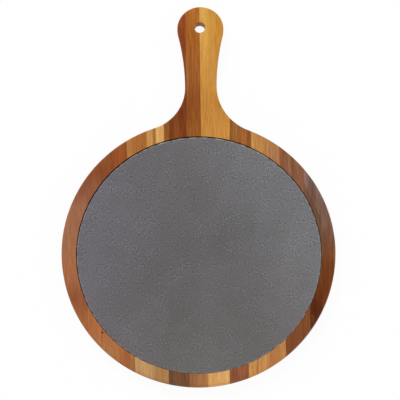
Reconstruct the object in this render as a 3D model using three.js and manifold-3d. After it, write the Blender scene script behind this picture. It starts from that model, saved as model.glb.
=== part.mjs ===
// Round acacia serving paddle with a slate plate let into its top.
// Millimetres, +Z up. The origin is on the underside, below the centre of the round board.
// +Y points along the handle.

import * as THREE from 'three';
import { mergeVertices } from 'three/addons/utils/BufferGeometryUtils.js';
import Module from 'manifold-3d';

// Round board
const boardRadius = 165;
const boardThickness = 14;
const topRounding = 2;
const underRounding = 4.3;

// Handle: a round end, a narrow neck and a hollow shoulder on each side.
// It is shaped by hand, so it stands a little off the centre line and its shoulders differ.
const neckWidth = 38.8;
const neckOffset = 2.8;
const rightShoulderRadius = 61;
const leftShoulderRadius = 54.5;
const gripLength = 73.8;
const handleEndRadius = 28.4;
const handleEndOffset = 2.2;

// Hanging hole, placed from the centre of the handle's round end
const holeDiameter = 13;
const holeChamfer = 0.5;
const holeOffsetX = -0.7;
const holeOffsetY = 1.1;

// Recess for the slate, a little off the centre of the board
const rimWidth = 17.2;
const recessEasing = 0.4;
const recessOffsetX = 0.2;
const recessOffsetY = -2.4;

// Slate plate, bonded a little off the centre of its recess
const slateClearance = 0.9;
const slateShiftX = 0.35;
const slateShiftY = -0.4;
const slateThickness = 5.2;
const slateProud = 0.2;
const slateArris = 0.6;

// Flat dabs of adhesive in the bed below the slate
const bedThickness = 1;
const dabDiameter = 24;
const dabBulge = 0.35;
const dabInset = 48;
const dabsOnCircle = 6;

// Glue lines between the staves, from left to right. The staves are sawn in random widths and taper a little.
// Each line is given by its distance from a datum where it crosses two stations,
// with the colour of the stave to its right. The outer lines keep their place from the edge of the board.
const glueGap = 0.2;
const handleSideStation = 150;
const farSideStation = -150;
const leftEdge = -boardRadius;
const centreLine = 0;
const rightHalf = boardRadius / 2;
const rightEdge = boardRadius;
const leftStaveColor = 0xa5694b;
const glueLines = [
  { datum: leftEdge, handleSide: 29, farSide: 34, color: 0x9d5f38 },
  { datum: leftEdge, handleSide: 60, farSide: 72, color: 0x97552f },
  { datum: leftEdge, handleSide: 77, farSide: 90, color: 0xb98548 },
  { datum: centreLine, handleSide: -42.5, farSide: -35.5, color: 0x744425 },
  { datum: centreLine, handleSide: -14.3, farSide: -10.8, color: 0x9a6130 },
  { datum: centreLine, handleSide: 3, farSide: 7.2, color: 0xcd9650 },
  { datum: centreLine, handleSide: 38, farSide: 37.2, color: 0x945730 },
  { datum: rightHalf, handleSide: -18.5, farSide: -22.5, color: 0xc08b4b },
  { datum: rightEdge, handleSide: -79.4, farSide: -83.6, color: 0xb07848 },
  { datum: rightEdge, handleSide: -67.5, farSide: -60, color: 0x84533a },
  { datum: rightEdge, handleSide: -39, farSide: -29.5, color: 0x6a4230 },
  { datum: rightEdge, handleSide: -15, farSide: -18, color: 0x7a4a30 },
];
const slateColor = 0x6c6b6c;
const adhesiveColor = 0xd9dcdd;
const woodRoughness = 0.45;
const slateRoughness = 0.7;
const adhesiveRoughness = 0.3;

// Facets along each kind of curve, and how far a cutter runs past the timber
const boardSteps = 96;
const handleEndSteps = 28;
const shoulderSteps = 10;
const neckSteps = 6;
const roundingSteps = 3;
const recessSteps = 120;
const smallCircleSteps = 24;
const cutOverrun = 1;

const wasm = await Module();
wasm.setup();

const { atan2, cos, sign, sin, sqrt, PI } = Math;

// The hollow shoulder on one side, worked out as if on the right.
// Its circle touches the round board and the narrowest part of the neck.
function shoulderAt(direction, radius) {
  const neckX = direction * neckOffset + neckWidth / 2;
  const x = neckX + radius;
  const y = sqrt((boardRadius + radius) ** 2 - x ** 2);
  return { direction, radius, neckX, x, y, root: atan2(y, x) };
}

const rightShoulder = shoulderAt(1, rightShoulderRadius);
const leftShoulder = shoulderAt(-1, leftShoulderRadius);
const handleReach = rightShoulder.y + gripLength;

// The long curve from the neck to the handle's round end, worked out as if on the right.
// Its circle touches the shoulder at the neck, and the round end.
// A negative radius bulges outward, where the neck is wider than the round end.
function gripAt(shoulder) {
  const endX = shoulder.direction * handleEndOffset;
  const across = shoulder.neckX - endX;
  const rise = handleReach - shoulder.y;
  const radius = (across ** 2 + rise ** 2 - handleEndRadius ** 2) / (2 * (handleEndRadius - across));
  const x = shoulder.neckX + radius;
  const touch = atan2((shoulder.y - handleReach) * sign(radius), (x - endX) * sign(radius));
  return { radius, x, y: shoulder.y, touch };
}

const rightGrip = gripAt(rightShoulder);
const leftGrip = gripAt(leftShoulder);

// Points along an arc, short of its end, with its radius grown by a margin
function arcPoints(circle, margin, startAngle, endAngle, steps) {
  const radius = circle.radius + margin;
  const points = [];
  for (let i = 0; i < steps; i += 1) {
    const angle = startAngle + ((endAngle - startAngle) * i) / steps;
    points.push(new THREE.Vector2(circle.x + radius * cos(angle), circle.y + radius * sin(angle)));
  }
  return points;
}

function mirrored(circle) {
  return { x: -circle.x, y: circle.y, radius: circle.radius };
}

// The board's outline, counter-clockwise from the right of the handle's end, moved inward by an inset.
// Arcs that bulge out shrink by the inset and hollow ones grow by it, so each arc still meets the next.
function boardOutline(inset) {
  const handleEnd = { x: handleEndOffset, y: handleReach, radius: handleEndRadius };
  const disc = { x: 0, y: 0, radius: boardRadius };
  const leftRoot = PI - leftShoulder.root;
  const rightRoot = 2 * PI + rightShoulder.root;
  return [
    ...arcPoints(handleEnd, -inset, rightGrip.touch, PI - leftGrip.touch, handleEndSteps),
    ...arcPoints(mirrored(leftGrip), inset, -leftGrip.touch, 0, neckSteps),
    ...arcPoints(mirrored(leftShoulder), inset, 0, leftRoot - PI, shoulderSteps),
    ...arcPoints(disc, -inset, leftRoot, rightRoot, boardSteps),
    ...arcPoints(rightShoulder, inset, rightRoot - PI, PI, shoulderSteps),
    ...arcPoints(rightGrip, inset, PI, PI + rightGrip.touch, neckSteps),
  ];
}

function circleOutline(circle, steps) {
  return (inset) => arcPoints(circle, -inset, 0, 2 * PI, steps);
}

// A closed solid through rings of points.
// The profile gives each ring's inset and height, from the bottom ring to the top ring.
function loft(outlineAt, profile) {
  const rings = profile.map(({ inset }) => outlineAt(inset));
  const count = rings[0].length;
  const positions = [];
  profile.forEach(({ z }, level) => {
    rings[level].forEach((point) => positions.push(point.x, point.y, z));
  });
  const index = [];
  for (let level = 0; level + 1 < rings.length; level += 1) {
    for (let i = 0; i < count; i += 1) {
      const a = level * count + i;
      const b = level * count + ((i + 1) % count);
      index.push(a, b, b + count, a, b + count, a + count);
    }
  }
  const top = (rings.length - 1) * count;
  THREE.ShapeUtils.triangulateShape(rings[0], []).forEach(([a, b, c]) => index.push(a, c, b));
  THREE.ShapeUtils.triangulateShape(rings[rings.length - 1], []).forEach(([a, b, c]) => {
    index.push(top + a, top + b, top + c);
  });
  const geometry = new THREE.BufferGeometry();
  geometry.setAttribute('position', new THREE.Float32BufferAttribute(positions, 3));
  geometry.setIndex(index);
  return geometry;
}

function toSolid(geometry) {
  const bare = geometry.clone();
  bare.deleteAttribute('normal');
  bare.deleteAttribute('uv');
  const merged = mergeVertices(bare);
  return new wasm.Manifold(new wasm.Mesh({
    numProp: 3,
    vertProperties: new Float32Array(merged.attributes.position.array),
    triVerts: new Uint32Array(merged.index.array),
  }));
}

function toGeometry(solid) {
  const mesh = solid.getMesh();
  const geometry = new THREE.BufferGeometry();
  geometry.setAttribute('position', new THREE.Float32BufferAttribute(mesh.vertProperties, 3));
  geometry.setIndex(Array.from(mesh.triVerts));
  geometry.computeVertexNormals();
  return geometry;
}

// A round cutter standing along Z, with its own radius at each end
function roundCutter(x, y, lowRadius, highRadius, low, high, steps) {
  const geometry = new THREE.CylinderGeometry(highRadius, lowRadius, high - low, steps);
  geometry.rotateX(PI / 2);
  geometry.translate(x, y, (low + high) / 2);
  return toSolid(geometry);
}

// The edge of the glued-up blank: a quarter-round below, an upright band and a quarter-round above
function edgeProfile() {
  const profile = [];
  for (let i = 0; i <= roundingSteps; i += 1) {
    const angle = ((PI / 2) * i) / roundingSteps;
    profile.push({ inset: underRounding * (1 - sin(angle)), z: underRounding * (1 - cos(angle)) });
  }
  for (let i = 0; i <= roundingSteps; i += 1) {
    const angle = ((PI / 2) * i) / roundingSteps;
    const drop = topRounding * (1 - sin(angle));
    profile.push({ inset: topRounding * (1 - cos(angle)), z: boardThickness - drop });
  }
  return profile;
}

// The blank, with the recess and the hanging hole cut and their edges eased
const above = boardThickness + cutOverrun;
const below = -cutOverrun;
const recessRadius = boardRadius - rimWidth;
const recessDepth = bedThickness + slateThickness - slateProud;
const recessFloor = boardThickness - recessDepth;
const recessFlare = recessRadius + recessEasing + cutOverrun;

function recessCutter(lowRadius, highRadius, low) {
  return roundCutter(recessOffsetX, recessOffsetY, lowRadius, highRadius, low, above, recessSteps);
}

const holeX = handleEndOffset + holeOffsetX;
const holeY = handleReach + holeOffsetY;
const holeRadius = holeDiameter / 2;
const holeFlare = holeRadius + holeChamfer + cutOverrun;

function holeCutter(lowRadius, highRadius, low, high) {
  return roundCutter(holeX, holeY, lowRadius, highRadius, low, high, smallCircleSteps);
}

const blank = toSolid(loft(boardOutline, edgeProfile()))
  .subtract(recessCutter(recessRadius, recessRadius, recessFloor))
  .subtract(recessCutter(recessRadius, recessFlare, boardThickness - recessEasing))
  .subtract(holeCutter(holeRadius, holeRadius, below, above))
  .subtract(holeCutter(holeRadius, holeFlare, boardThickness - holeChamfer, above))
  .subtract(holeCutter(holeFlare, holeRadius, below, holeChamfer));

// A straight glue line, read at any y
function glueLineX(line, y) {
  const share = (y - farSideStation) / (handleSideStation - farSideStation);
  return line.datum + line.farSide + (line.handleSide - line.farSide) * share;
}

// The slab of timber between two glue lines, half a glue gap inside each of them
function staveSlab(leftLine, rightLine) {
  const near = -boardRadius - cutOverrun;
  const far = handleReach + handleEndRadius + cutOverrun;
  const half = glueGap / 2;
  const shape = new THREE.Shape([
    new THREE.Vector2(glueLineX(leftLine, near) + half, near),
    new THREE.Vector2(glueLineX(rightLine, near) - half, near),
    new THREE.Vector2(glueLineX(rightLine, far) - half, far),
    new THREE.Vector2(glueLineX(leftLine, far) + half, far),
  ]);
  const slab = new THREE.ExtrudeGeometry(shape, { depth: above - below, bevelEnabled: false });
  slab.translate(0, 0, below);
  return toSolid(slab);
}

const group = new THREE.Group();

function addPart(name, geometry, color, roughness) {
  const material = new THREE.MeshStandardMaterial({ color, roughness, metalness: 0 });
  const mesh = new THREE.Mesh(geometry, material);
  mesh.name = name;
  group.add(mesh);
}

// Staves, from the left edge of the board to the right edge.
// A stave that the neck cuts through is one piece on each side of it.
const edgeLines = [
  { datum: leftEdge, handleSide: -cutOverrun, farSide: -cutOverrun, color: leftStaveColor },
  ...glueLines,
  { datum: rightEdge, handleSide: cutOverrun, farSide: cutOverrun },
];
for (let i = 0; i + 1 < edgeLines.length; i += 1) {
  const label = String(i + 1).padStart(2, '0');
  const pieces = blank.intersect(staveSlab(edgeLines[i], edgeLines[i + 1])).decompose();
  pieces.sort((one, other) => other.volume() - one.volume());
  pieces.forEach((piece, k) => {
    const name = k === 0 ? `stave_${label}` : `stave_${label}_piece_${k + 1}`;
    addPart(name, toGeometry(piece), edgeLines[i].color, woodRoughness);
  });
}

// Slate plate on its bed of adhesive
const slateCircle = {
  x: recessOffsetX + slateShiftX,
  y: recessOffsetY + slateShiftY,
  radius: recessRadius - slateClearance,
};
const slateUnderside = recessFloor + bedThickness;
const slateTop = slateUnderside + slateThickness;
const slateProfile = [
  { inset: 0, z: slateUnderside },
  { inset: 0, z: slateTop - slateArris },
  { inset: slateArris, z: slateTop },
];
const slateGeometry = loft(circleOutline(slateCircle, recessSteps), slateProfile);
addPart('slate_plate', slateGeometry, slateColor, slateRoughness);

// Dabs of adhesive, pressed flat between the recess floor and the slate
const dabProfile = [
  { inset: dabBulge, z: recessFloor },
  { inset: 0, z: recessFloor + bedThickness / 2 },
  { inset: dabBulge, z: slateUnderside },
];

function addDab(name, x, y) {
  const outline = circleOutline({ x, y, radius: dabDiameter / 2 }, smallCircleSteps);
  addPart(name, loft(outline, dabProfile), adhesiveColor, adhesiveRoughness);
}

addDab('adhesive_dab_middle', slateCircle.x, slateCircle.y);
arcPoints(slateCircle, -dabInset, 0, 2 * PI, dabsOnCircle).forEach((point, i) => {
  addDab(`adhesive_dab_${i + 1}`, point.x, point.y);
});

export default group;
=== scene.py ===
"""Acacia serving paddle with a slate plate: its looks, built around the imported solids.

Lengths are in metres, in the frame of the solids: +Z up, +Y along the handle,
and the origin on the underside, below the centre of the round board.
"""

import functools
import math
from typing import NamedTuple

import bmesh
import bpy
import numpy as np
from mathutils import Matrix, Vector


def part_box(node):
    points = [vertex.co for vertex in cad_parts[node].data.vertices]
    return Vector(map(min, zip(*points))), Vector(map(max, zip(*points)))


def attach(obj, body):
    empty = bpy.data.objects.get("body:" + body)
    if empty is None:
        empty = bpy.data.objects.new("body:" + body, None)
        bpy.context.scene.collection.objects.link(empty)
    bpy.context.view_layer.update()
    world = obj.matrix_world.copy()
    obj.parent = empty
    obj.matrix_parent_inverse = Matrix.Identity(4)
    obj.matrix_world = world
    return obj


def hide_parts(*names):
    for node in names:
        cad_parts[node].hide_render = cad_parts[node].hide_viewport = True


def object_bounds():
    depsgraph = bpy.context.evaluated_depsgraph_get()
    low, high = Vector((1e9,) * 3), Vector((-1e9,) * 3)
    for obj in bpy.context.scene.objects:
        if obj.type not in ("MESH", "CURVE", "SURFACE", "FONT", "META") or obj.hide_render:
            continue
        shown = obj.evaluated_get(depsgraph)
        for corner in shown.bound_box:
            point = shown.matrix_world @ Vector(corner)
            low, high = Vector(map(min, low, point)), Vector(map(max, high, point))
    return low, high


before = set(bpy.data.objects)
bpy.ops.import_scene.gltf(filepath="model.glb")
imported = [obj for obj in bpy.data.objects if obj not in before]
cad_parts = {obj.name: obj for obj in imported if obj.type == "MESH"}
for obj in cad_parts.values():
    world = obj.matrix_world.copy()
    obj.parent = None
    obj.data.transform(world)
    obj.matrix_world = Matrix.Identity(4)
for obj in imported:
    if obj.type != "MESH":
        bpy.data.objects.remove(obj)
cad_low, cad_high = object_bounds()

bl_info = {
    "name": "Acacia and slate serving board",
    "version": (1, 0, 0),
    "blender": (4, 5, 0),
    "location": "View3D > Sidebar > Serving board",
    "description": "Builds the staves, slate plate, adhesive dabs and stage of a serving board",
    "category": "Object",
}

# Stations along the handle at which glue lines and tones are given
HANDLE_STATION = 0.150
FAR_STATION = -0.150


class Streak(NamedTuple):
    """A band of another tone that follows the grain or leans across it.

    at_handle and at_far say where its middle stands at the two stations. It shows fully past the
    station full and fades out towards the station gone. If these aren't given, it runs all the way.
    """

    at_handle: float
    at_far: float
    half_width: float
    colour: str
    strength: float = 0.8
    gone: float = -0.9
    full: float = -0.8


class Knot(NamedTuple):
    """A small upright oval spot, and how strongly it shows."""

    x: float
    y: float
    half_width: float
    half_length: float
    colour: str
    strength: float = 0.8


class Stave(NamedTuple):
    """One stave: the glue line to its right at both stations, its tones along the handle and its marks.

    figure says how strongly its grain shows.
    """

    right_at_handle: float
    right_at_far: float
    tones: tuple
    streaks: tuple = ()
    knots: tuple = ()
    figure: float = 1.0


# Streaks that show on one side of the board only
AT_HANDLE = {"gone": -0.06, "full": 0.07}
AT_FAR = {"gone": 0.06, "full": -0.07}

# Light that the oil's own sheen adds to every tone, so the pigment is that much darker
OIL_SHEEN = 0.0075
DARKEST_PIGMENT = 0.0008

# Edges that turn by more than these angles are shaded crisp
CRISP_TIMBER = math.radians(28)
CRISP_SLATE = math.radians(50)
CRISP_SILICONE = math.radians(40)

# Setting of a Map Range node that eases in and out
EASED = {"interpolation_type": "SMOOTHSTEP"}

# Sockets of a Mix node that mixes colours
SHARE, FROM, TO = 0, 6, 7
MIXED = 2

# Staves from the left edge of the board to the right edge
STAVES = (
    # Its paler, pinkish tones about the middle of the board hold painted sheen over the stave's colour
    Stave(
        -0.1360, -0.1310,
        (
            (-0.095, "a4653c"), (-0.060, "945737"), (-0.025, "a76a45"),
            (0.020, "a06b4c"), (0.050, "9f694d"), (0.080, "8b5539"),
        ),
        figure=0.6,
    ),
    Stave(
        -0.1050, -0.0930,
        ((-0.130, "b07344"), (-0.095, "a6673e"), (0.080, "8e563a"), (0.100, "894c2a"), (0.120, "8f502a")),
        knots=(
            Knot(-0.1148, -0.0998, 0.0012, 0.0017, "4a2416", 0.9),
            Knot(-0.1156, -0.1065, 0.0006, 0.0050, "7d4426", 0.4),
        ),
        figure=0.6,
    ),
    Stave(
        -0.0880, -0.0750,
        ((-0.140, "a4633c"), (0.130, "945229")),
        (
            Streak(-0.0900, -0.0795, 0.0030, "a57244", **AT_FAR),
            Streak(-0.0893, -0.0780, 0.0020, "8c5022", **AT_HANDLE),
            Streak(-0.1015, -0.0905, 0.0035, "904827", 0.7, **AT_HANDLE),
        ),
        figure=0.7,
    ),
    Stave(
        -0.0425, -0.0355,
        ((-0.155, "be9261"), (0.120, "a86932")),
        (
            Streak(-0.0850, -0.0720, 0.0040, "b27842", 0.9, **AT_HANDLE),
            Streak(-0.0590, -0.0510, 0.0045, "c69254", 0.95, **AT_HANDLE),
            Streak(-0.0470, -0.0400, 0.0065, "d6a15f", 1.0, **AT_HANDLE),
            Streak(-0.0542, -0.0465, 0.0018, "a26830", 0.9, **AT_HANDLE),
            Streak(-0.0490, -0.0430, 0.0095, "a87a4c", 0.9, **AT_FAR),
        ),
        figure=0.55,
    ),
    Stave(
        -0.0143, -0.0108,
        ((-0.155, "745037"), (0.145, "783b19"), (0.180, "72371a"), (0.253, "7f401b"), (0.285, "8d4521")),
        (
            Streak(-0.0390, -0.0330, 0.0038, "8e5828", 0.9, **AT_HANDLE),
            Streak(-0.0268, -0.0220, 0.0030, "864a24", 0.8, **AT_HANDLE),
            Streak(-0.0180, -0.0130, 0.0035, "704436", 0.6, **AT_FAR),
        ),
    ),
    Stave(
        0.0030, 0.0072,
        (
            (-0.155, "996740"), (0.150, "945825"), (0.188, "8b4d20"),
            (0.222, "995b2b"), (0.275, "9c5b22"), (0.310, "a86728"),
        ),
        (Streak(0.0005, 0.0048, 0.0030, "a87343", 0.8, **AT_FAR),),
    ),
    Stave(
        0.0380, 0.0372,
        ((-0.155, "d3a062"), (0.155, "c58941"), (0.185, "c0843b"), (0.225, "c68c41"), (0.295, "cc9441")),
        (
            Streak(0.0040, 0.0086, 0.0034, "a87442", 1.0, gone=-0.02, full=-0.12),
            Streak(0.0075, 0.0110, 0.0052, "dca653", 0.75, gone=0.19, full=0.30),
            Streak(0.0255, 0.0255, 0.0045, "c5842e", 0.7, gone=0.225, full=0.255),
            Streak(0.0365, 0.0355, 0.0022, "dfaa6b", 0.7, **AT_FAR),
        ),
        figure=0.55,
    ),
    Stave(
        0.0640, 0.0600,
        ((-0.150, "94593b"), (0.140, "985d2e")),
        (
            Streak(0.0450, 0.0440, 0.0032, "a46838", 0.8, **AT_HANDLE),
            Streak(0.0553, 0.0520, 0.0030, "aa6a3a", 0.8, **AT_HANDLE),
            Streak(0.0622, 0.0590, 0.0026, "8a5222", 0.8, **AT_HANDLE),
            Streak(0.0392, 0.0384, 0.0020, "905823", 0.8, **AT_HANDLE),
        ),
        figure=0.9,
    ),
    Stave(
        0.0856, 0.0814,
        ((-0.150, "c68c52"), (0.130, "bb864b")),
        (
            Streak(0.0755, 0.0712, 0.0009, "aa7238", 0.8, **AT_FAR),
            Streak(0.0690, 0.0650, 0.0025, "c69350", 0.7, **AT_FAR),
            Streak(0.0810, 0.0770, 0.0028, "ad783f", 0.6, **AT_HANDLE),
        ),
        figure=0.6,
    ),
    Stave(
        0.0975, 0.1050,
        ((-0.140, "b97c49"), (0.120, "aa774e")),
        (
            Streak(0.0870, 0.0840, 0.0010, "a06a40", 0.8, **AT_HANDLE),
            Streak(0.0893, 0.0870, 0.0014, "b37e58", 0.7, **AT_HANDLE),
            Streak(0.0935, 0.1005, 0.0030, "c0864e", 0.7, **AT_FAR),
        ),
        figure=0.7,
    ),
    Stave(
        0.1260, 0.1355,
        ((-0.120, "804b2d"), (0.100, "885a42")),
        (
            Streak(0.1089, 0.1170, 0.0018, "976649", 0.8, **AT_HANDLE),
            Streak(0.1125, 0.1200, 0.0016, "7d5138", 0.7, **AT_HANDLE),
            Streak(0.1000, 0.1070, 0.0030, "8c5733", 0.7, **AT_HANDLE),
            Streak(0.1170, 0.1285, 0.0030, "7c4822", 0.8, **AT_FAR),
        ),
        figure=0.9,
    ),
    # Its greyish tones towards the handle are painted sheen over the stave's colour
    Stave(
        0.1500, 0.1470,
        (
            (-0.075, "572915"), (-0.045, "6a361a"), (0.000, "6e4830"),
            (0.033, "6e513e"), (0.050, "7b5c4a"), (0.090, "82665e"),
        ),
        (
            Streak(0.1370, 0.1370, 0.0035, "5f4536", 0.5, gone=0.03, full=0.05),
            Streak(0.1268, 0.1363, 0.0012, "66381c", 0.95, gone=-0.045, full=-0.062),
            # The last one runs along the edge of the recess, where the stave keeps its own colour without
            # the painted sheen
            Streak(0.0950, 0.2331, 0.0030, "6c4730", 0.75, gone=0.030, full=0.046),
        ),
        knots=(Knot(0.1355, -0.0840, 0.0035, 0.0065, "6e4120", 0.9),),
        figure=0.9,
    ),
    # Its greyish tones towards the handle are painted sheen over the stave's colour
    Stave(
        0.1700, 0.1700,
        ((-0.045, "723b1e"), (-0.020, "6f3d1e"), (0.005, "7b4b33"), (0.040, "7c5c4b"), (0.065, "745750")),
        knots=(
            Knot(0.1515, 0.0130, 0.0040, 0.0160, "5c4531", 0.4),
            Knot(0.1635, -0.0080, 0.0018, 0.0130, "8e5a36", 0.7),
        ),
        figure=0.9,
    ),
)


def linear(colour):
    """A six-digit sRGB hex colour as linear red, green, blue."""
    coded = np.array([int(colour[i : i + 2], 16) for i in (0, 2, 4)]) / 255
    light = np.where(coded <= 0.04045, coded / 12.92, ((coded + 0.055) / 1.055) ** 2.4)
    return tuple(light.tolist())


def amount(name, description, default, **kind):
    """A number that a user would change, with the settings of its kind."""
    return bpy.props.FloatProperty(name=name, description=description, default=default, **kind)


def length(name, description, default):
    """A length that a user would change."""
    return amount(name, description, default, precision=5, subtype="DISTANCE", unit="LENGTH")


def tone(name, description, colour):
    """A colour that a user would change, given as sRGB hex."""
    return bpy.props.FloatVectorProperty(
        name=name, description=description, default=linear(colour), min=0, max=1, subtype="COLOR"
    )


class TimberSizes(bpy.types.PropertyGroup):
    """Sizes of the glued-up paddle."""

    board_radius: length("Board radius", "Radius of the round board", 0.165)
    thickness: length("Thickness", "Thickness of the timber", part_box("stave_01")[1].z)
    sanding: length("Sanding", "Timber sanded off the whole outline when the blank was finished", 0.00006)
    top_rounding: length("Top rounding", "Radius of the rounded top edge", 0.002)
    under_rounding: length("Under rounding", "Radius of the rounded lower edge", 0.0043)
    neck_width: length("Neck width", "Width of the handle at its narrowest", 0.0388)
    neck_offset: length("Neck offset", "How far the neck stands right of the centre line", 0.0028)
    right_shoulder: length("Right shoulder", "Radius of the hollow right of the neck", 0.061)
    left_shoulder: length("Left shoulder", "Radius of the hollow left of the neck", 0.0545)
    grip_length: length("Grip length", "From the neck to the centre of the handle's round end", 0.0738)
    end_radius: length("End radius", "Radius of the handle's round end", 0.0284)
    end_offset: length("End offset", "How far the round end stands right of the centre line", 0.0022)
    hole_diameter: length("Hole diameter", "Diameter of the hanging hole", 0.013)
    hole_easing: length("Hole easing", "Radius of the eased mouths of the hole", 0.0011)
    hole_offset_x: length("Hole offset across", "From the centre of the round end to the hole", -0.0007)
    hole_offset_y: length("Hole offset along", "From the centre of the round end to the hole", 0.0011)
    rim_width: length("Rim width", "Width of the timber round the recess", 0.01725)
    recess_easing: length("Recess easing", "Radius of the eased edge of the recess", 0.0003)
    recess_offset_x: length("Recess offset across", "From the centre of the board to the recess", 0.0004)
    recess_offset_y: length("Recess offset along", "From the centre of the board to the recess", -0.0026)
    glue_line: length("Glue line", "Width of the hairline between two staves", 0.000004)


class TimberTones(bpy.types.PropertyGroup):
    """Tones of each stave, in order along the handle from the far side."""


for _number, _stave in enumerate(STAVES, 1):
    for _order, (_station, _colour) in enumerate(_stave.tones, 1):
        TimberTones.__annotations__[f"stave_{_number:02d}_tone_{_order}"] = tone(
            f"Stave {_number}, tone {_order}",
            f"Colour of stave {_number} at {1000 * _station:.0f} mm along the handle", _colour,
        )


class SlateFinish(bpy.types.PropertyGroup):
    """Relief and colour of the slate plate."""

    fit: length("Fit", "How much closer the plate fits than its plain solid", 0.00016)
    seat_x: length("Seat across", "How far right of its plain solid the plate lies", 0.0001)
    seat_y: length("Seat along", "How far along the handle from its plain solid the plate lies", -0.00041)
    arris: length("Arris", "Width of the dressed top edge", 0.0006)
    chipping: length("Chipping", "Depth of the small chips along the edge", 0.0002)
    relief: length("Relief", "Depth of the riven face from crest to hollow", 0.0004)
    body: tone("Body", "Main colour of the oiled slate", "615f60")
    # The cool and pale tones are painted sheen, at the left and at the right
    cool: tone("Cool", "Cooler tone at the left", "646168")
    pale: tone("Pale", "Paler tone at the right", "6d6c6f")
    # The edge tone is that of the chipped edge, and also of its painted highlight on the handle's side
    edge: tone("Edge", "Freshly dressed edge", "b2adab")


class StudioStage(bpy.types.PropertyGroup):
    """Camera, lamps and floor."""

    distance: length("Camera distance", "From the camera to the point it looks at", 3.6)
    tilt: amount(
        "Camera tilt", "From straight above, towards the far side of the board", math.radians(15.89),
        subtype="ANGLE", unit="ROTATION",
    )
    target: bpy.props.FloatVectorProperty(
        name="Target", description="Point that the camera looks at",
        default=(0.001771, 0.064553, 0.014), subtype="XYZ", unit="LENGTH",
    )
    lens: amount("Lens", "Focal length on a 36 mm sensor, in millimetres", 267.93)
    key_power: amount("Key lamp", "Power of the soft lamp behind the handle", 186, subtype="POWER")
    fill_power: amount("Fill lamp", "Power of the soft lamp at the right", 37, subtype="POWER")
    front_power: amount("Front lamp", "Power of the low soft lamp at the far side", 49, subtype="POWER")
    zenith: amount("Zenith", "Light from straight above", 0.28)
    horizon: amount("Horizon", "Light from the walls", 0.95)
    paper_glow: amount("Paper glow", "Share of the floor shown as plain white", 0.94, subtype="FACTOR")


class ServingBoard(bpy.types.PropertyGroup):
    """All that a user would change on the serving board."""

    timber: bpy.props.PointerProperty(name="Timber", description="Sizes of the timber", type=TimberSizes)
    tones: bpy.props.PointerProperty(name="Tones", description="Colours of the staves", type=TimberTones)
    slate: bpy.props.PointerProperty(name="Slate", description="Finish of the slate", type=SlateFinish)
    stage: bpy.props.PointerProperty(name="Stage", description="Camera and lamps", type=StudioStage)


# Surfaces

def meshed(name, vertices, faces):
    """A mesh of points and faces."""
    mesh = bpy.data.meshes.new(name)
    mesh.from_pydata(vertices, [], faces)
    return mesh


def numbered(rings, first=0):
    """The numbers of the points of some rings or rows, one to a row, counted from first."""
    levels, count = rings.shape[:2]
    return first + np.arange(levels * count).reshape(levels, count)


def ring_faces(at):
    """Faces between neighbouring rings, from the numbers of their points."""
    after = np.roll(at, -1, axis=1)
    return np.stack((at[:-1], at[1:], after[1:], after[:-1]), axis=-1).reshape(-1, 4).tolist()


def fan_faces(pole, here, after):
    """Triangles from a pole to each point of a ring and the point after it."""
    return np.stack((np.full(len(here), pole), here, after), axis=-1).tolist()


def on_circle(angle):
    """Points on a circle of radius one, at the given angles."""
    return np.stack((np.cos(angle), np.sin(angle)), axis=-1)


def closed_surface(rings, start_pole, end_pole):
    """A closed mesh through rings of points, with a pole at both ends.

    Point (i, j) is the j-th point round the i-th ring. Each ring runs counter-clockwise seen from
    above, and the rings run from the top pole outward, down and in to the lower pole.
    """
    vertices = np.concatenate((rings.reshape(-1, 3), [start_pole, end_pole]))
    at = numbered(rings)
    after = np.roll(at, -1, axis=1)
    top, bottom = at.size, at.size + 1
    faces = ring_faces(at) + fan_faces(top, at[0], after[0]) + fan_faces(bottom, after[-1], at[-1])
    return meshed("surface", vertices.tolist(), faces)


def flat_filled(strips):
    """A closed solid of strips of rings, whose open ends are joined by flat faces, height by height."""
    vertices, faces = [], []
    for rings in strips:
        faces += ring_faces(numbered(rings, len(vertices)))
        vertices += rings.reshape(-1, 3).tolist()
    mesh = meshed("strips", vertices, faces)
    solid = bmesh.new()
    solid.from_mesh(mesh)
    bpy.data.meshes.remove(mesh)
    loops = {}
    for edge in solid.edges:
        if edge.is_boundary:
            loops.setdefault(round(edge.verts[0].co.z, 6), []).append(edge)
    for edges in loops.values():
        bmesh.ops.triangle_fill(solid, edges=edges, use_beauty=True, normal=(0, 0, 1))
    return solid


def quarter(steps):
    """Sine and versine along a quarter turn, both from 0 to 1."""
    angle = np.linspace(0, math.pi / 2, steps + 1)
    return np.sin(angle), 1 - np.cos(angle)


def random_waves(points, wavelength, seed, count=48):
    """A smooth random field of about unit spread over points in a plane.

    It is the sum of plane waves in random directions, each near one wavelength, with random phases.
    """
    draw = np.random.default_rng(seed)
    heading = draw.uniform(0, 2 * math.pi, count)
    pitch = 2 * math.pi / (wavelength * draw.uniform(0.7, 1.4, count))
    phase = draw.uniform(0, 2 * math.pi, count)
    travel = on_circle(heading).T * pitch
    return np.cos(points @ travel + phase).sum(axis=-1) * math.sqrt(2 / count)


class Arc(NamedTuple):
    """Part of a circle on the outline. swell is -1 where it bulges out and 1 where it is hollow."""

    x: float
    y: float
    radius: float
    swell: int
    start: float
    end: float


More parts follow.
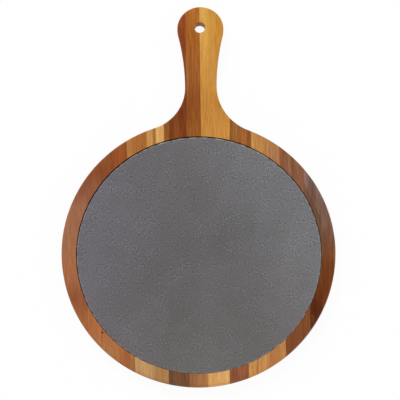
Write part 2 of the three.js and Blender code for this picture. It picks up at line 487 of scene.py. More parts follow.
def outline_arcs(timber):
    """Six arcs that touch end to end, counter-clockwise from the right of the handle's round end.

    On each side a hollow shoulder touches the round board and the neck at its narrowest, and a long
    hollow grip touches the shoulder there and the round end further up.
    """
    half_neck = timber.neck_width / 2
    neck = {side: side * timber.neck_offset + half_neck for side in (1, -1)}
    shoulder = {1: timber.right_shoulder, -1: timber.left_shoulder}
    across = {side: neck[side] + shoulder[side] for side in neck}
    up = {side: math.sqrt((timber.board_radius + shoulder[side]) ** 2 - across[side] ** 2) for side in neck}
    root = {side: math.atan2(up[side], across[side]) for side in neck}
    reach = up[1] + timber.grip_length
    grip, touch = {}, {}
    for side in neck:
        run = neck[side] - side * timber.end_offset
        rise = reach - up[side]
        grip[side] = (run**2 + rise**2 - timber.end_radius**2) / (2 * (timber.end_radius - run))
        touch[side] = math.atan2(-rise, run + grip[side])
    left_root = math.pi - root[-1]
    right_root = 2 * math.pi + root[1]
    return (
        Arc(timber.end_offset, reach, timber.end_radius, -1, touch[1], math.pi - touch[-1]),
        Arc(-neck[-1] - grip[-1], up[-1], grip[-1], 1, -touch[-1], 0),
        Arc(-across[-1], up[-1], shoulder[-1], 1, 0, left_root - math.pi),
        Arc(0, 0, timber.board_radius, -1, left_root, right_root),
        Arc(across[1], up[1], shoulder[1], 1, right_root - math.pi, math.pi),
        Arc(neck[1] + grip[1], up[1], grip[1], 1, math.pi, math.pi + touch[1]),
    )


class Outline:
    """Points round the paddle, counter-clockwise, which can be moved inward."""

    SPACING = 0.0012

    def __init__(self, timber):
        arcs = outline_arcs(timber)
        steps = [math.ceil(a.radius * abs(a.end - a.start) / self.SPACING) for a in arcs]
        x, y, radius, swell, start, end = np.repeat(np.array(arcs), steps, axis=0).T
        angle = start + (end - start) * np.concatenate([np.arange(n) / n for n in steps])
        self.centre = np.stack((x, y), axis=-1)
        self.radius = radius
        self.swell = swell
        self.turn = on_circle(angle)
        self.along = np.arange(len(angle)) / len(angle)

    def at(self, inset):
        """The outline moved inward. Bulging arcs shrink by the inset and hollow ones grow by it."""
        return self.centre + (self.radius + self.swell * inset)[..., None] * self.turn


def circles(centre, radius, count):
    """Circles about one centre, counter-clockwise, one for each radius."""
    angle = np.linspace(0, 2 * math.pi, count, endpoint=False)
    return np.asarray(centre) + np.asarray(radius)[:, None, None] * on_circle(angle)


def hole_centre(timber):
    """Where the axis of the hanging hole stands, set off from the centre of the handle's round end."""
    round_end = outline_arcs(timber)[0]
    return round_end.x + timber.hole_offset_x, round_end.y + timber.hole_offset_y


def lifted(rings, height):
    """Flat rings of points, each point set at its height."""
    height = np.asarray(height)
    z = np.broadcast_to(height.reshape(len(height), -1), rings.shape[:2])
    return np.concatenate((rings, z[..., None]), axis=-1)


def paddle_surface(timber, recess_floor):
    """The glued-up paddle before it is parted into staves, as three strips joined by flat faces.

    Each strip is a section carried round a closed line. Round the outline the section is the rounded
    top edge, the side and the rounded lower edge, and the rounding swells and fades a little on its
    way, as a hand-held sander leaves it. Round the recess it is the wall and its eased edge. Round the
    hanging hole it is an eased mouth, the wall and the other mouth. Each section ends in a narrow flat
    border, so that the shading of the rounded edge stays off the flat faces.
    """
    border = 0.0008
    rounding_steps = 8
    side_rows = 4
    wall_rows = 3
    recess_points = 720
    hole_points = 96
    top = timber.thickness
    rising, turning = quarter(rounding_steps)
    line = Outline(timber)
    phase = 2 * math.pi * line.along
    over = timber.top_rounding * (1 + 0.10 * np.sin(3 * phase + 0.6) + 0.06 * np.sin(7 * phase + 2.1))
    under = timber.under_rounding * (1 + 0.05 * np.sin(5 * phase + 1.0))
    share = np.linspace(0, 1, side_rows + 2)[1:-1]
    side = np.outer(1 - share, top - over) + np.outer(share, under)
    inset = np.concatenate(
        (
            over[None] + border, np.outer(1 - rising, over), np.zeros_like(side),
            np.outer(turning, under), under[None] + border,
        )
    )
    height = np.concatenate(
        (
            np.full_like(over[None], top), top - np.outer(turning, over), side,
            np.outer(1 - rising, under), np.zeros_like(under[None]),
        )
    )
    edge = lifted(line.at(timber.sanding + inset), height)

    recess = timber.board_radius - timber.rim_width
    easing = timber.recess_easing
    centre = timber.recess_offset_x, timber.recess_offset_y
    eased = recess + easing * turning
    reach = np.concatenate((np.full(wall_rows, recess), eased, [recess + easing + border]))
    wall_z = np.linspace(recess_floor, top - easing, wall_rows + 1)[:-1]
    wall_z = np.concatenate((wall_z, top - easing * (1 - rising), [top]))
    wall = lifted(circles(centre, reach, recess_points), wall_z)

    radius = timber.hole_diameter / 2
    easing = timber.hole_easing
    mouth = np.append(radius + easing * turning, radius + easing + border)
    mouth_z = np.append(easing * (1 - rising), 0)
    hole = lifted(
        circles(hole_centre(timber), np.concatenate((mouth[::-1], mouth)), hole_points),
        np.concatenate((mouth_z[::-1], top - mouth_z)),
    )
    return flat_filled((edge, wall, hole))


def glue_plane(at_handle, at_far, shift):
    """A point on an upright glue line and the line's normal to the right, with the line moved sideways."""
    along = Vector((at_handle - at_far, HANDLE_STATION - FAR_STATION, 0)).normalized()
    normal = Vector((along.y, -along.x, 0))
    return Vector((at_far, FAR_STATION, 0)) + normal * shift, normal


def cut_along(solid, point, normal):
    """Cuts a closed mesh along a plane, drops what lies past it and closes the cut face."""
    everything = solid.verts[:] + solid.edges[:] + solid.faces[:]
    cut = bmesh.ops.bisect_plane(
        solid, geom=everything, dist=1e-8, plane_co=point, plane_no=normal, clear_outer=True
    )
    edges = [e for e in cut["geom_cut"] if isinstance(e, bmesh.types.BMEdge)]
    bmesh.ops.triangle_fill(solid, edges=edges, use_beauty=True, normal=normal)


def smoothed(mesh, angle):
    """Shades a mesh smooth, with edges sharper than the angle left crisp."""
    mesh.polygons.foreach_set("use_smooth", np.ones(len(mesh.polygons), bool))
    mesh.set_sharp_from_angle(angle=angle)
    return mesh


def slate_surface(slate, low, high):
    """The slate plate: a riven top, a dressed and lightly chipped edge, a sawn side and a flat underside.

    The top is a square grid laid over the disc, each square ring going to a circle. Its height falls
    from the top by a random relief of three wavelengths, of which the finer two are drawn out along the
    split. The edge is a profile carried round the disc.
    """
    cells = 270
    edge_rows = 4
    narrowest, widest = 0.4, 1.4
    centre = np.array((low + high)[:2]) / 2
    radius = (high.x - low.x) / 2
    side = np.linspace(-1, 1, cells + 1)
    u, v = np.meshgrid(side, side)
    wide = np.abs(u) >= np.abs(v)
    reach = np.where(wide, u, v)
    other = np.where(wide, v, u)
    ratio = np.divide(other, reach, out=np.zeros_like(reach), where=reach != 0)
    angle = np.where(wide, ratio, 2 - ratio) * math.pi / 4
    disc = reach[..., None] * on_circle(angle)

    at = numbered(disc)
    loop = np.concatenate((at[0, :-1], at[:-1, -1], at[-1, :0:-1], at[:0:-1, 0]))
    turn = disc.reshape(-1, 2)[loop]
    rim = turn * radius
    chips = random_waves(rim, wavelength=0.006, seed=5) + random_waves(rim, wavelength=0.0022, seed=6)
    chip = slate.chipping * np.clip(0.4 + 0.35 * chips, 0, 1)
    uneven = random_waves(rim, wavelength=0.010, seed=7)
    arris = slate.arris * np.clip(0.8 + 0.3 * uneven, narrowest, widest)

    top_radius = radius - slate.arris * widest - slate.chipping
    points = centre + disc * top_radius
    flat = points.reshape(-1, 2)
    drawn_out = flat * (1, 0.4)
    riven = 0.45 * random_waves(drawn_out, wavelength=0.0034, seed=11)
    riven += 0.4 * random_waves(drawn_out, wavelength=0.009, seed=12)
    riven += 0.3 * random_waves(flat, wavelength=0.034, seed=13)
    top = high.z - slate.relief * np.clip(0.5 + 0.3 * riven, 0, 1)
    face = np.concatenate((flat, top[:, None]), axis=-1)

    share = np.linspace(0, 1, edge_rows + 1)[1:, None]
    outer = radius - chip
    inset = (outer - arris) * (1 - share) + outer * share
    bevel_z = top[loop] - arris * share**1.5
    bevel = lifted(centre + inset[..., None] * turn, bevel_z)
    side_z = bevel_z[-1] * (1 - share) + low.z * share
    sawn = lifted(np.broadcast_to(centre + outer[:, None] * turn, (edge_rows, *turn.shape)), side_z)
    inward = np.array((0.75, 0.5, 0.25))[:, None, None]
    under = lifted(centre + outer[:, None] * turn * inward, np.full(len(inward), low.z))
    rings = np.concatenate((bevel, sawn, under))

    vertices = np.concatenate((face, rings.reshape(-1, 3), [(*centre, low.z)]))
    grid = np.stack((at[:-1, :-1], at[:-1, 1:], at[1:, 1:], at[1:, :-1]), axis=-1).reshape(-1, 4)
    ring = np.concatenate((loop[None], numbered(rings, len(face))))
    fan = fan_faces(len(vertices) - 1, np.roll(ring[-1], -1), ring[-1])
    return meshed("slate", vertices.tolist(), grid.tolist() + ring_faces(ring) + fan)


def dab_surface(low, high, seed):
    """A dab of adhesive pressed flat: a bulging profile carried round a slightly wavering circle."""
    points = 72
    bulge_rows = 13
    uneven = 0.035
    draw = np.random.default_rng(seed)
    centre = np.array((low + high)[:2]) / 2
    angle = np.linspace(0, 2 * math.pi, points, endpoint=False)
    waver = sum(
        size * np.cos(lobes * angle + draw.uniform(0, 2 * math.pi))
        for lobes, size in ((2, 0.5), (3, 0.35), (5, 0.15))
    )
    radius = (high.x - low.x) / 2 * (1 - uneven + uneven * waver)
    bulge = np.linspace(-math.pi / 2, math.pi / 2, bulge_rows)[::-1]
    half = (high.z - low.z) / 2
    inset = half * (1 - np.cos(bulge))
    rim = lifted(
        centre + (radius - inset[:, None])[..., None] * on_circle(angle),
        low.z + half + half * np.sin(bulge),
    )
    inward = np.linspace(0, 1, 4)[1:-1, None, None]
    top = rim[0] * inward + np.array((*centre, high.z)) * (1 - inward)
    under = (rim[-1] * inward + np.array((*centre, low.z)) * (1 - inward))[::-1]
    return closed_surface(np.concatenate((top, rim, under)), (*centre, high.z), (*centre, low.z))


# Materials

def add(tree, kind, inputs=(), **settings):
    """Adds a node with its settings and links, and returns its outputs.

    inputs gives values or other nodes' outputs, in order or by socket name.
    """
    made = tree.nodes.new("ShaderNode" + kind)
    for key, value in settings.items():
        setattr(made, key, value)
    for key, value in inputs.items() if isinstance(inputs, dict) else enumerate(inputs):
        if isinstance(value, bpy.types.NodeSocket):
            tree.links.new(value, made.inputs[key])
        else:
            made.inputs[key].default_value = value
    return made.outputs


def new_tree(owner):
    """The empty node tree of a material or world, as the function that adds nodes to it."""
    owner.use_nodes = True
    owner.node_tree.nodes.clear()
    return functools.partial(add, owner.node_tree)


def ellipse_share(node, place, spot):
    """How far a place lies inside an upright elliptical spot: 1 in its middle, eased to 0 past its edge."""
    shrink = (1 / spot.half_width, 1 / spot.half_length, 0)
    shift = (-spot.x / spot.half_width, -spot.y / spot.half_length, 0)
    reach = node("VectorMath", (place, shrink, shift), operation="MULTIPLY_ADD")[0]
    off = node("VectorMath", (reach,), operation="LENGTH")["Value"]
    return node(
        "MapRange", {"Value": off, "From Min": 1.3, "From Max": 0.6, "To Max": spot.strength}, **EASED
    )[0]


def streak_share(node, x, y, waver, streak):
    """How far a place lies inside a streak that leans with the grain and wavers, and fades out along it."""
    lean = (streak.at_handle - streak.at_far) / (HANDLE_STATION - FAR_STATION)
    middle = node("Math", (y, lean, streak.at_far - lean * FAR_STATION), operation="MULTIPLY_ADD")[0]
    beside = node("Math", (x, middle), operation="SUBTRACT")[0]
    off = node("Math", (node("Math", (beside, waver))[0],), operation="ABSOLUTE")[0]
    width = streak.half_width
    inside = node("MapRange", {"Value": off, "From Min": width * 1.35, "From Max": width * 0.65}, **EASED)[0]
    reach = node(
        "MapRange",
        {"Value": y, "From Min": streak.gone, "From Max": streak.full, "To Max": streak.strength},
        **EASED,
    )[0]
    return node("Math", (inside, reach), operation="MULTIPLY")[0]


def tinted(node, colour, swing, gain, middle=0):
    """A colour made lighter or darker by a swing about a middle, with a gain for red, green and blue."""
    at_zero = tuple(1 - middle * share for share in gain)
    factor = node("VectorMath", (swing, gain, at_zero), operation="MULTIPLY_ADD")[0]
    return node("VectorMath", (colour, factor), operation="MULTIPLY")[0]


def oiled_acacia(number, tones, left_line, timber, recess_floor):
    """Acacia, sanded and oiled: growth layers round a pith beside the stave, fine fibres and open pores.

    To the eye it is a satin brown with streaks along the stave, arcs of the growth layers on its dull,
    slightly darker end grain, a recess wall darkened by painted shade, and a bore that grows paler with
    depth, which is painted light bounced up into it.
    """
    stave = STAVES[number - 1]
    material = bpy.data.materials.new(f"acacia, sanded and oiled, stave {number}")
    node = new_tree(material)
    draw = np.random.default_rng(number)
    seed = 7.3 * number
    place = node("TexCoord")["Object"]
    x, y, z = node("SeparateXYZ", (place,))

    # The grain follows the stave's own taper, and wanders a few millimetres on its way along
    slope = (left_line[0] - left_line[1] + stave.right_at_handle - stave.right_at_far) / 2
    slope /= HANDLE_STATION - FAR_STATION
    wander = 0.005
    bends = tuple(1 / size for size in (0.05, 0.11, 0.05))
    slow = node("VectorMath", (place, bends, (0, seed, 0)), operation="MULTIPLY_ADD")[0]
    drift = node("TexNoise", {"Vector": slow, "Scale": 1.0, "Detail": 1.0})[0]
    straight = node("VectorMath", (place, (1, -slope, 0)), operation="DOT_PRODUCT")["Value"]
    across = node("Math", (drift, wander, straight), operation="MULTIPLY_ADD")[0]

    # Growth layers are shells round the pith
    middle = (left_line[1] + stave.right_at_far) / 2 - slope * FAR_STATION + wander / 2
    pith = (middle + draw.uniform(-0.03, 0.03), 0, draw.choice((-1, 1)) * draw.uniform(0.02, 0.06))
    section = node("CombineXYZ", (across, 0.0, z))[0]
    radius = node("VectorMath", (section, pith), operation="DISTANCE")["Value"]
    shells = node("CombineXYZ", (radius, y, 0.0))[0]
    grain = node("CombineXYZ", (across, y, z))[0]
    figure = {}
    # Fibres and pores are finer than a picture dot in the main view, so they are drawn a little coarse
    for name, source, size, detail in (
        ("layers", shells, (0.0045, 0.30, 1), 2),
        ("lines", shells, (0.0015, 0.10, 1), 1),
        ("fibres", grain, (0.0013, 0.020, 0.0013), 1),
        ("pores", grain, (0.0007, 0.005, 0.0007), 0),
        ("warmth", grain, (0.007, 0.035, 0.007), 2),
    ):
        scaled = node(
            "VectorMath", (source, tuple(1 / s for s in size), (seed, 0, seed)), operation="MULTIPLY_ADD"
        )[0]
        figure[name] = node("TexNoise", {"Vector": scaled, "Scale": 1.0, "Detail": detail})[0]
    open_pores = node("MapRange", {"Value": figure["pores"], "From Min": 0.62, "From Max": 0.76}, **EASED)[0]

    # The tones along the stave, then its streaks and knots
    first, last = tones[0][0], tones[-1][0]
    share = node("MapRange", {"Value": y, "From Min": first, "From Max": last})[0]
    base = node("ValToRGB", (share,))["Color"]
    ramp = base.node.color_ramp
    ramp.interpolation = "EASE"
    for station, _ in tones[1:-1]:
        ramp.elements.new((station - first) / (last - first))
    for element, (_, colour) in zip(ramp.elements, tones):
        element.color = (*colour, 1)
    fine_waver, broad_waver = 0.0012, 0.003
    to_left = -(fine_waver + broad_waver) / 2
    waver = node("Math", (figure["lines"], fine_waver, to_left), operation="MULTIPLY_ADD")[0]
    waver = node("Math", (drift, broad_waver, waver), operation="MULTIPLY_ADD")[0]
    marks = [(streak_share(node, x, y, waver, streak), streak.colour) for streak in stave.streaks]
    marks += [(ellipse_share(node, place, spot), spot.colour) for spot in stave.knots]
    for shown, colour in marks:
        base = node("Mix", {SHARE: shown, FROM: base, TO: (*linear(colour), 1)}, data_type="RGBA")[MIXED]

    # The bore grows paler with depth below its oiled mouth: painted light, bounced up into it from below
    flat = node("VectorMath", (place, (1, 1, 0)), operation="MULTIPLY")[0]
    axis = (*hole_centre(timber), 0)
    from_axis = node("VectorMath", (flat, axis), operation="DISTANCE")["Value"]
    mouth = timber.hole_diameter / 2
    top = timber.thickness
    bore = node(
        "MapRange",
        {"Value": from_axis, "From Min": mouth + 0.0006, "From Max": mouth + 0.0001, "To Max": 0.85},
        **EASED,
    )[0]
    depth = node("MapRange", {"Value": z, "From Min": top - 0.001, "From Max": 0.005})[0]
    # The pale tone is painted light, not a colour of the wood
    oiled, bounced_pale = ((*linear(colour), 1) for colour in ("8c5c40", "fae6d8"))
    bore_painted_bounce = node("Mix", {SHARE: depth, FROM: oiled, TO: bounced_pale}, data_type="RGBA")[MIXED]
    base = node("Mix", {SHARE: bore, FROM: base, TO: bore_painted_bounce}, data_type="RGBA")[MIXED]

    # Grain with darker pores, then a drift of hue between red and olive
    weights = tuple(weight * stave.figure for weight in (0.35, 0.70, 1.1))
    fine = node("CombineXYZ", (figure["layers"], figure["lines"], figure["fibres"]))[0]
    swing = node("VectorMath", (fine, weights), operation="DOT_PRODUCT")["Value"]
    swing = node("Math", (open_pores, -0.14, swing), operation="MULTIPLY_ADD")[0]
    base = tinted(node, base, swing, (0.8, 1.0, 1.15), middle=sum(weights) / 2)
    base = tinted(node, base, figure["warmth"], (0.20, -0.06, -0.32), middle=0.5)

    # Painted shade on the wall of the recess, below its eased edge, deepening the dark gap round the slate
    recess = timber.board_radius - timber.rim_width
    centre = (timber.recess_offset_x, timber.recess_offset_y, 0)
    from_recess = node("VectorMath", (flat, centre), operation="DISTANCE")["Value"]
    at_wall = node("Math", (from_recess, recess + timber.recess_easing), operation="LESS_THAN")[0]
    sunk = node("MapRange", {"Value": z, "From Min": top - 0.0004, "From Max": top - 0.0014})[0]
    painted_gap_shade = node("Math", (at_wall, sunk), operation="MULTIPLY")[0]
    above_web = node("Math", (z, recess_floor / 2), operation="GREATER_THAN")[0]
    painted_gap_shade = node("Math", (painted_gap_shade, above_web), operation="MULTIPLY")[0]
    base = tinted(node, base, painted_gap_shade, (-0.8, -0.8, -0.8))

    # Darker end grain
    facing = node("SeparateXYZ", (node("NewGeometry")["Normal"],))["Y"]
    steep = node("Math", (facing,), operation="ABSOLUTE")[0]
    end_grain = node("MapRange", {"Value": steep, "From Min": 0.45, "From Max": 0.95}, **EASED)[0]
    base = tinted(node, base, end_grain, (-0.10, -0.12, -0.13))

    base = node("VectorMath", (base, (OIL_SHEEN,) * 3), operation="SUBTRACT")[0]
    base = node("VectorMath", (base, (DARKEST_PIGMENT,) * 3), operation="MAXIMUM")[0]
    relief = node("Math", (open_pores, -1.2, figure["fibres"]), operation="MULTIPLY_ADD")[0]
    bump = node("Bump", {"Strength": 0.25, "Distance": 0.0001, "Height": relief})[0]
    roughness = node("Math", (figure["fibres"], 0.12, 0.44), operation="MULTIPLY_ADD")[0]
    roughness = node("Math", (end_grain, 0.30, roughness), operation="MULTIPLY_ADD")[0]
    look = {"Base Color": base, "Roughness": roughness, "IOR": 1.48, "Specular IOR Level": 0.14}
    shader = node("BsdfPrincipled", {**look, "Normal": bump})[0]
    node("OutputMaterial", (shader,))
    return material


def riven_slate(slate, low, high):
    """Slate, split along its bed and oiled.

    To the eye it is a matt grey with fine pale crests, dark pits and a pale chipped edge, with a painted
    highlight along the edge on the handle's side. Painted sheen makes it cooler at the left and paler at
    the right, and it is a little warmer away from the handle.
    """
    material = bpy.data.materials.new("slate, riven and oiled")
    node = new_tree(material)
    place = node("TexCoord")["Object"]
    x, y, _ = node("SeparateXYZ", (place,))
    drift, cloud, patches, chips = (
        node("TexNoise", {"Vector": place, "Scale": 1 / size, "Detail": 2.0, "Roughness": 0.6})[0]
        for size in (0.07, 0.022, 0.010, 0.007)
    )
    flakes = node("VectorMath", (place, (1 / 0.003, 1 / 0.008, 1 / 0.003)), operation="MULTIPLY")[0]
    crests = node("TexNoise", {"Vector": flakes, "Scale": 1.0, "Detail": 3.0, "Roughness": 0.6})[0]
    # The grit lies in the plane of the split and is drawn out a little along it. It is finer than a
    # picture dot in the main view, so it is drawn coarse
    split = node("VectorMath", (place, (1 / 0.0014, 1 / 0.0019, 1)), operation="MULTIPLY")[0]
    grit = node("TexNoise", {"Vector": split, "Scale": 1.0, "Detail": 0.0}, noise_dimensions="2D")[0]

    # Broad tones: a cool painted sheen at the left and a pale painted sheen at the right
    tones = slate.body, slate.cool, slate.pale, slate.edge
    body, cool, pale, dressed = ((*colour, 1) for colour in tones)
    cool_sheen_share = node("MapRange", {"Value": x, "From Min": -0.01, "From Max": -0.16}, **EASED)[0]
    base = node("Mix", {SHARE: cool_sheen_share, FROM: body, TO: cool}, data_type="RGBA")[MIXED]
    towards = node("VectorMath", (place, (1, 0.5, 0)), operation="DOT_PRODUCT")["Value"]
    pale_sheen_share = node("MapRange", {"Value": towards, "From Min": 0.02, "From Max": 0.16}, **EASED)[0]
    base = node("Mix", {SHARE: pale_sheen_share, FROM: base, TO: pale}, data_type="RGBA")[MIXED]
    away = node("MapRange", {"Value": y, "From Min": 0.03, "From Max": -0.12}, **EASED)[0]
    base = tinted(node, base, away, (0.01, 0.0, -0.04))

    # Drift, cloud and grit. The grit comes in patches and is rubbed smoother away from the handle
    crisp = node(
        "MapRange",
        {"Value": y, "From Min": -0.01, "From Max": -0.08, "To Min": 1.0, "To Max": 0.8},
        **EASED,
    )[0]
    patchy = node(
        "MapRange", {"Value": patches, "From Min": 0.35, "From Max": 0.65, "To Min": 0.3, "To Max": 1.6}
    )[0]
    crisp = node("Math", (crisp, patchy), operation="MULTIPLY")[0]
    noises = node("CombineXYZ", (drift, cloud, grit))[0]
    centred = node("VectorMath", (noises, (0.5,) * 3), operation="SUBTRACT")[0]
    weights = node("CombineXYZ", (0.32, 0.25, crisp))[0]
    swing = node("VectorMath", (centred, weights), operation="DOT_PRODUCT")["Value"]
    # Pale crests stand out a little more than dark pits
    bold = node("Math", (swing, swing), operation="MULTIPLY")[0]
    swing = node("Math", (bold, 0.4, swing), operation="MULTIPLY_ADD")[0]
    base = tinted(node, base, swing, (1, 1, 1))
    base = tinted(node, base, cloud, (-0.03, -0.03, 0.10), middle=0.5)

    # Darker in the middle and lighter towards the edge
    centre = (low + high) / 2
    outer = (high.x - low.x) / 2
    flat = node("VectorMath", (place, (1, 1, 0)), operation="MULTIPLY")[0]
    radius = node("VectorMath", (flat, (*centre.xy, 0)), operation="DISTANCE")["Value"]
    darker_middle = node(
        "MapRange",
        {"Value": radius, "From Min": 0.05, "From Max": 0.14, "To Min": -0.045, "To Max": 0.045},
        **EASED,
    )[0]
    base = tinted(node, base, darker_middle, (1, 1, 1))

    # The dressed edge is pale where it is chipped, and a painted highlight makes it paler on the handle's
    # side
    ragged = node("Math", (crests, 0.0010, radius), operation="MULTIPLY_ADD")[0]
    chips_and_highlight = node(
        "MapRange", {"Value": y, "From Min": 0.09, "From Max": 0.14, "To Min": 0.42, "To Max": 0.8}, **EASED
    )[0]
    chipped = node("MapRange", {"Value": chips, "From Min": 0.42, "From Max": 0.60}, **EASED)[0]
    chips_and_highlight = node("Math", (chips_and_highlight, chipped), operation="MULTIPLY")[0]
    at_edge = node(
        "MapRange", {"Value": ragged, "From Min": outer - 0.0010, "From Max": outer - 0.0001}, **EASED
    )[0]
    edge = node("Math", (at_edge, chips_and_highlight), operation="MULTIPLY")[0]
    base = node("Mix", {SHARE: edge, FROM: base, TO: dressed}, data_type="RGBA")[MIXED]

    relief = node("Math", (grit, 0.25, crests), operation="MULTIPLY_ADD")[0]
    bump = node("Bump", {"Strength": 0.5, "Distance": 0.0003, "Height": relief})[0]
    roughness = node("Math", (grit, 0.3, 0.55), operation="MULTIPLY_ADD")[0]
    look = {"Base Color": base, "Roughness": roughness, "Specular IOR Level": 0.3}
    shader = node("BsdfPrincipled", {**look, "Normal": bump})[0]
    node("OutputMaterial", (shader,))
    return material


def cured_silicone():
    """Silicone sealant, pressed flat and cured: milky and clear, with a faint cloud of fine bubbles."""
    material = bpy.data.materials.new("silicone, cured clear")
    node = new_tree(material)
    place = node("TexCoord")["Object"]
    cloud = node("TexNoise", {"Vector": place, "Scale": 1 / 0.003, "Detail": 3.0})[0]
    clear, milky = ((*linear(colour), 1) for colour in ("cfd4d6", "e6e9ea"))
    tint = node("Mix", {SHARE: cloud, FROM: clear, TO: milky}, data_type="RGBA")[MIXED]
    bump = node("Bump", {"Strength": 0.2, "Distance": 0.0001, "Height": cloud})[0]
    look = {"Base Color": tint, "Roughness": 0.3, "IOR": 1.41, "Transmission Weight": 0.5}
    shader = node("BsdfPrincipled", {**look, "Normal": bump})[0]
    node("OutputMaterial", (shader,))
    return material


def backdrop_paper(stage):
    """Matt white paper. The camera sees it mostly as plain white, with the board's shadow faint on it.

    From below it is clear, also where the board lies on it, so the underside shows there.
    """
    material = bpy.data.materials.new("paper, matt white")
    node = new_tree(material)
    path = node("LightPath")
    seen = node("Math", (path["Is Camera Ray"], path["Is Glossy Ray"]), operation="MAXIMUM")[0]
    seen = node("Math", (seen, path["Is Transmission Ray"]), operation="MAXIMUM")[0]
    share = node("Math", (seen, stage.paper_glow), operation="MULTIPLY")[0]
    paper = node("BsdfDiffuse", {"Color": (*linear("fafafa"), 1)})[0]
    white = node("Emission", {"Color": (1, 1, 1, 1), "Strength": 1.0})[0]
    both = node("MixShader", (share, paper, white))[0]
    touching = node("Math", (path["Ray Length"], 0.0002), operation="LESS_THAN")[0]
    clear = node("Math", (node("NewGeometry")["Backfacing"], touching), operation="MAXIMUM")[0]
    both = node("MixShader", (clear, both, node("BsdfTransparent")[0]))[0]
    node("OutputMaterial", (both,))
    return material


# Operators

def put_in(scene, name, data):
    """Makes an object of a mesh, lamp or camera and puts it into the scene."""
    made = bpy.data.objects.new(name, data)
    scene.collection.objects.link(made)
    return made


def place_piece(context, name, mesh, material, node):
    """Puts a finished mesh into the scene on the root body, and hides the node that it stands for."""
    mesh.name = name
    mesh.materials.append(material)
    piece = put_in(context.scene, name, mesh)
    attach(piece, "root")
    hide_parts(node)


class SERVING_BOARD_OT_staves(bpy.types.Operator):
    """Shape the glued-up paddle, drill its hanging hole and part it into its thirteen staves"""

    bl_idname = "serving_board.staves"
    bl_label = "Staves"

    def execute(self, context):
        board = context.scene.serving_board
        recess_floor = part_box("adhesive_dab_middle")[0].z
        rest = paddle_surface(board.timber, recess_floor)
        half = board.timber.glue_line / 2
        left_line = cad_low.x, cad_low.x
        for number, stave in enumerate(STAVES, 1):
            line = stave.right_at_handle, stave.right_at_far
            solid = rest
            if number < len(STAVES):
                solid = rest.copy()
                cut_along(solid, *glue_plane(*line, -half))
                point, normal = glue_plane(*line, half)
                cut_along(rest, point, -normal)
            bmesh.ops.triangulate(solid, faces=solid.faces[:])
            bmesh.ops.recalc_face_normals(solid, faces=solid.faces[:])
            mesh = bpy.data.meshes.new("stave")
            solid.to_mesh(mesh)
            solid.free()
            label = f"stave_{number:02d}"
            tones = [
                (station, getattr(board.tones, f"{label}_tone_{order}"))
                for order, (station, _) in enumerate(stave.tones, 1)
            ]
            material = oiled_acacia(number, tones, left_line, board.timber, recess_floor)
            left_line = line
            place_piece(context, f"acacia_{label}", smoothed(mesh, CRISP_TIMBER), material, label)
        return {"FINISHED"}


class SERVING_BOARD_OT_slate(bpy.types.Operator):
    """Split, round and dress the slate plate"""

    bl_idname = "serving_board.slate"
    bl_label = "Slate plate"

    def execute(self, context):
        slate = context.scene.serving_board.slate
        low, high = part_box("slate_plate")
        seat = Vector((slate.seat_x, slate.seat_y, 0))
        wider = Vector((slate.fit, slate.fit, 0))
        low = low + seat - wider
        high = high + seat + wider
        mesh = smoothed(slate_surface(slate, low, high), CRISP_SLATE)
        place_piece(context, "riven_slate_plate", mesh, riven_slate(slate, low, high), "slate_plate")
        return {"FINISHED"}


class SERVING_BOARD_OT_dabs(bpy.types.Operator):
    """Lay the dabs of adhesive below the slate"""

    bl_idname = "serving_board.dabs"
    bl_label = "Adhesive dabs"

    def execute(self, context):
        material = cured_silicone()
        nodes = sorted(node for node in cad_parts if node.startswith("adhesive_dab"))
        for seed, node in enumerate(nodes):
            mesh = smoothed(dab_surface(*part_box(node), seed), CRISP_SILICONE)
            place_piece(context, node.replace("adhesive", "silicone"), mesh, material, node)
        return {"FINISHED"}


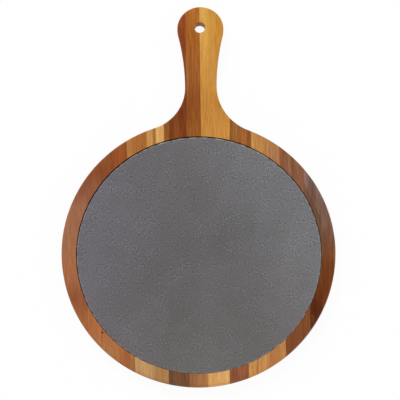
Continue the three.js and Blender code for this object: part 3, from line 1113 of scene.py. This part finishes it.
class SERVING_BOARD_OT_stage(bpy.types.Operator):
    """Set the floor, lamps and camera"""

    bl_idname = "serving_board.stage"
    bl_label = "Stage"

    def execute(self, context):
        scene = context.scene
        stage = scene.serving_board.stage
        half = 30.0
        just_below = -0.00005
        corners = [(x * half, y * half, just_below) for x, y in ((-1, -1), (1, -1), (1, 1), (-1, 1))]
        paper = meshed("floor", corners, [(0, 1, 2, 3)])
        paper.materials.append(backdrop_paper(stage))
        floor = put_in(scene, "floor", paper)

        world = bpy.data.worlds.new("studio")
        node = new_tree(world)
        height = node("SeparateXYZ", (node("TexCoord")["Generated"],))["Z"]
        level = node("MapRange", {"Value": height, "To Min": stage.horizon, "To Max": stage.zenith})[0]
        level = node("Math", (level, node("LightPath")["Is Camera Ray"]), operation="MAXIMUM")[0]
        node("OutputWorld", (node("Background", {"Color": (1, 1, 1, 1), "Strength": level})[0],))
        scene.world = world

        for name, place, size, power in (
            ("key", (-2.25, 3.75, 3.75), 3.5, stage.key_power),
            ("fill", (3.6, 0.4, 2.4), 2.8, stage.fill_power),
            ("front", (0.4, -4.4, 1.4), 2.4, stage.front_power),
        ):
            lamp = bpy.data.lights.new(name, "AREA")
            lamp.shape = "DISK"
            lamp.size = size
            lamp.energy = power
            holder = put_in(scene, name, lamp)
            holder.location = place
            holder.rotation_euler = Vector(place).to_track_quat("Z", "Y").to_euler()

        camera = bpy.data.cameras.new("camera")
        camera.sensor_width = 36
        camera.lens = stage.lens
        camera.clip_end = 100
        holder = put_in(scene, "camera", camera)
        back = Vector((0, -math.sin(stage.tilt), math.cos(stage.tilt)))
        holder.location = Vector(stage.target) + back * stage.distance
        holder.rotation_euler = back.to_track_quat("Z", "Y").to_euler()
        scene.camera = holder
        scene.view_settings.view_transform = "Standard"
        return {"FINISHED"}


class VIEW3D_PT_serving_board(bpy.types.Panel):
    """Sizes, finishes and builders of the serving board"""

    bl_label = "Serving board"
    bl_space_type = "VIEW_3D"
    bl_region_type = "UI"
    bl_category = "Serving board"

    def draw(self, context):
        board = context.scene.serving_board
        for operator in OPERATORS:
            self.layout.operator(operator.bl_idname)
        for group in (board.timber, board.tones, board.slate, board.stage):
            box = self.layout.box()
            for name in group.__annotations__:
                box.prop(group, name)


GROUPS = (TimberSizes, TimberTones, SlateFinish, StudioStage, ServingBoard)
OPERATORS = (SERVING_BOARD_OT_staves, SERVING_BOARD_OT_slate, SERVING_BOARD_OT_dabs, SERVING_BOARD_OT_stage)
CLASSES = (*GROUPS, *OPERATORS, VIEW3D_PT_serving_board)


def register():
    """Adds the classes and the scene's settings."""
    for cls in CLASSES:
        bpy.utils.register_class(cls)
    bpy.types.Scene.serving_board = bpy.props.PointerProperty(type=ServingBoard)


def unregister():
    """Takes them away again."""
    del bpy.types.Scene.serving_board
    for cls in reversed(CLASSES):
        bpy.utils.unregister_class(cls)


def main():
    """Builds every piece and the stage."""
    register()
    bpy.ops.serving_board.stage()
    bpy.ops.serving_board.staves()
    bpy.ops.serving_board.slate()
    bpy.ops.serving_board.dabs()


if __name__ == "__main__":
    main()
